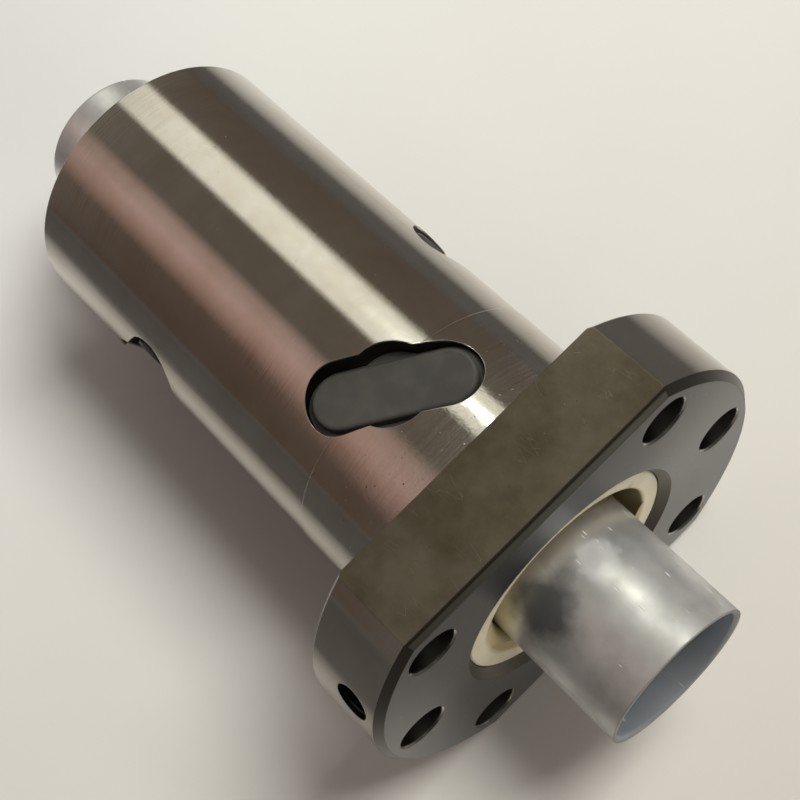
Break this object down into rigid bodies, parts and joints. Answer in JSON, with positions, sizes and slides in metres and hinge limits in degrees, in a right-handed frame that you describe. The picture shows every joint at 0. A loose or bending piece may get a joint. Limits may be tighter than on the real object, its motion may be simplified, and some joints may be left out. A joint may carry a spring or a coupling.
{
  "type": "ball screw nut",
  "caption": "Flanged ball screw nut with slanted return caps, recirculating ball circuits, end wipers and an assembly sleeve through its bore.",
  "frame": {"origin": "on the nut's axis at the flange's rear, mounting face", "axes": "+X along the screw axis from the body out of the flange's front, +Z square to the flange's two flats, +Y across its round sides"},
  "size_m": [0.1142, 0.062, 0.048],
  "materials": {
    "ground_steel": "ground",
    "cap_plastic": "satin",
    "ball_steel": "polished",
    "wiper_nylon": "satin",
    "sleeve_aluminium": "satin"
  },
  "bodies": {
    "nut": {"nut_body": "ground_steel", "return_cap_1": "cap_plastic", "return_cap_2": "cap_plastic", "return_cap_3": "cap_plastic", "return_cap_4": "cap_plastic", "ball_circuit_1": "ball_steel", "ball_circuit_2": "ball_steel", "ball_circuit_3": "ball_steel", "ball_circuit_4": "ball_steel", "wiper_front": "wiper_nylon", "wiper_rear": "wiper_nylon"},
    "arbor": {"arbor_sleeve": "sleeve_aluminium"}
  },
  "joints": [
    {"name": "arbor_slide", "type": "slide", "parent": "nut", "child": "arbor", "axis": [1, 0, 0], "range_m": [-0.032, 0.022]}
  ]
}
